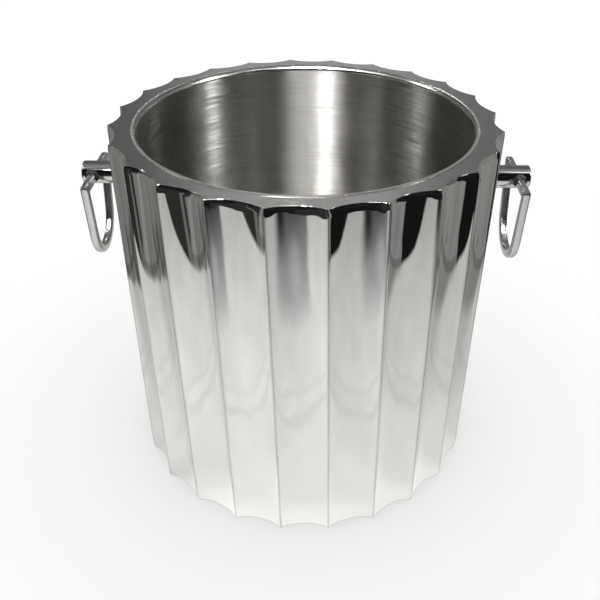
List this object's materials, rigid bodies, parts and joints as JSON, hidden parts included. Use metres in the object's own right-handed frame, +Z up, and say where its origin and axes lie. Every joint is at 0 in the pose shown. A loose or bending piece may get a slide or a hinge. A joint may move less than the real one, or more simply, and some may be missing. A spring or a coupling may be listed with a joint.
{
  "type": "ice bucket",
  "caption": "Double-walled fluted steel ice bucket with a flat rim, a brushed inner pot and a hanging ring handle on a short post at each side.",
  "frame": {"origin": "centre of the foot, on the surface that the bucket stands on", "axes": "+Z up out of the mouth; the two ring handles are at -X (left) and +X (right)"},
  "size_m": [0.248, 0.2086, 0.2045],
  "materials": {
    "polished_steel": "mirror-polished stainless steel",
    "rim_steel": "polished, slightly hazed stainless steel",
    "brushed_steel": "brushed round the pot",
    "plain_steel": "mill finish stainless steel"
  },
  "bodies": {
    "bucket": {"outer_shell": "polished_steel", "rim_ring": "rim_steel", "inner_liner": "brushed_steel", "base_plate": "plain_steel", "handle_post_left": "polished_steel", "handle_post_right": "polished_steel", "backing_washer_left": "plain_steel", "backing_washer_right": "plain_steel", "post_screw_left": "plain_steel", "post_screw_right": "plain_steel"},
    "left_ring": {"ring_handle_left": "polished_steel"},
    "right_ring": {"ring_handle_right": "polished_steel"}
  },
  "joints": [
    {"name": "left_ring_swing", "type": "hinge", "parent": "bucket", "child": "left_ring", "pos_m": [-0.118, 0, 0.1698], "axis": [0, 1, 0], "range_deg": [-12, 195]},
    {"name": "right_ring_swing", "type": "hinge", "parent": "bucket", "child": "right_ring", "pos_m": [0.118, 0, 0.1698], "axis": [0, -1, 0], "range_deg": [-12, 195]}
  ]
}
